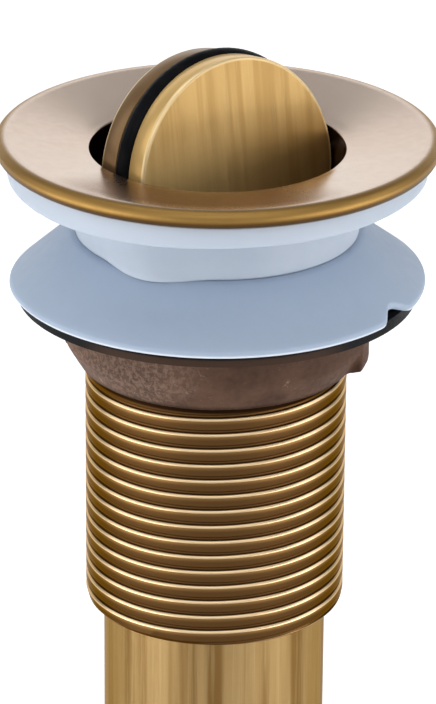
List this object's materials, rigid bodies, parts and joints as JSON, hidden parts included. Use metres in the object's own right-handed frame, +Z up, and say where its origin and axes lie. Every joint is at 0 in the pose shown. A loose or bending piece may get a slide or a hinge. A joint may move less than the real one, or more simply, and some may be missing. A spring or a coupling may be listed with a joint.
{
  "type": "flip plug basin waste",
  "caption": "Basin drain waste: dished flange, threaded body, plug disc that flips on a cross pin, white gaskets, washer, backnut and tail pipe.",
  "frame": {"origin": "on the drain axis, on the plane of the basin seat (underside of the top gasket's rim)", "axes": "+Z up the drain axis, out of the basin; the plug turns about X; -Y is the way the open plug faces"},
  "size_m": [0.0622, 0.0622, 0.2102],
  "materials": {
    "body_brass": "satin antique",
    "plug_brass": "brushed",
    "tail_brass": "brushed lengthwise",
    "cast_nut": "rough cast, dark",
    "pin_steel": "satin",
    "white_silicone": "soft, slightly see-through",
    "black_rubber": "satin"
  },
  "bodies": {
    "waste": {"waste_body": "body_brass", "top_gasket": "white_silicone", "pivot_pin": "pin_steel", "tail_seal": "black_rubber", "tail_pipe": "tail_brass"},
    "plug": {"plug_disc": "plug_brass", "plug_seal": "black_rubber"},
    "clamp_rings": {"cone_gasket": "white_silicone", "friction_washer": "black_rubber"},
    "nut": {"backnut": "cast_nut"}
  },
  "joints": [
    {"name": "plug_flip", "type": "hinge", "parent": "waste", "child": "plug", "pos_m": [0, 0, 0.0002], "axis": [1, 0, 0], "range_deg": [-82, 8]},
    {"name": "clamp_slide", "type": "slide", "parent": "waste", "child": "clamp_rings", "axis": [0, 0, 1], "range_m": [-0.0317, 0]},
    {"name": "backnut_turn", "type": "hinge", "parent": "clamp_rings", "child": "nut", "pos_m": [0, 0, -0.023], "axis": [0, 0, 1], "range_deg": [-4860, 0]}
  ],
  "couplings": [
    {"joint": "clamp_slide", "follows": "backnut_turn", "m_per_rad": 0.00037258}
  ]
}
